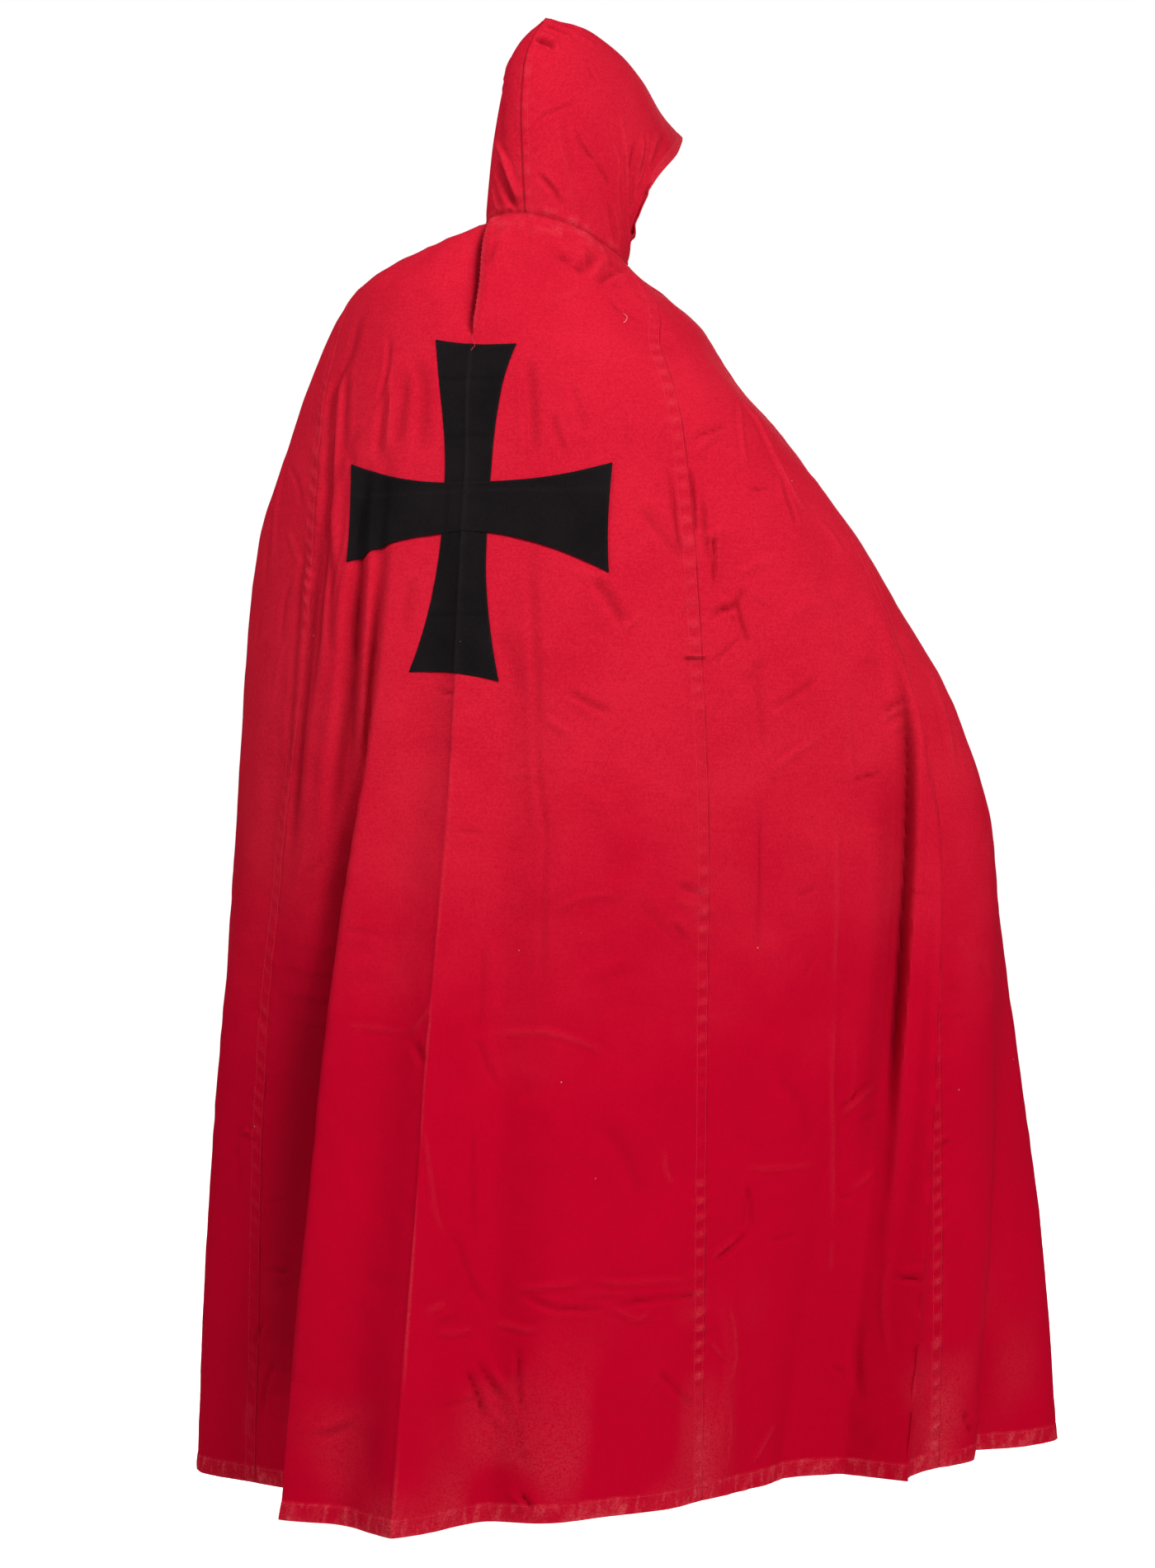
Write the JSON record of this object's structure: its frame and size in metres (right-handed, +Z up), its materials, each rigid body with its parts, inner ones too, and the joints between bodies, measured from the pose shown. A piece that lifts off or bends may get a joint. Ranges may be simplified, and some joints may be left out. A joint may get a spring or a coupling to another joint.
{
  "type": "hooded cape",
  "caption": "Floor-length hooded cape of red cotton with a black cross sewn to its back, in its worn form with an open front.",
  "frame": {"origin": "on the wearer's neck axis, level with the neck seam, where the cape hangs from the neck and shoulders", "axes": "+Z up; the wearer faces -Y, so the back of the cape is at +Y and the wearer's right is at -X"},
  "size_m": [0.957, 0.9041, 1.7334],
  "materials": {
    "red_cotton": "plain-woven red cotton, matt, softly worn along its seams and hem",
    "black_cotton": "plain-woven black cotton, matt",
    "hook_wire": "plain steel wire"
  },
  "bodies": {
    "root": {"back_panel": "red_cotton", "side_panel_right": "red_cotton", "side_panel_left": "red_cotton", "front_panel_right": "red_cotton", "front_panel_left": "red_cotton", "hood_right": "red_cotton", "hood_left": "red_cotton", "cross_upper_arm": "black_cotton", "cross_bar": "black_cotton", "cross_lower_arm": "black_cotton", "neck_hook": "hook_wire", "neck_eye": "hook_wire"}
  },
  "joints": []
}
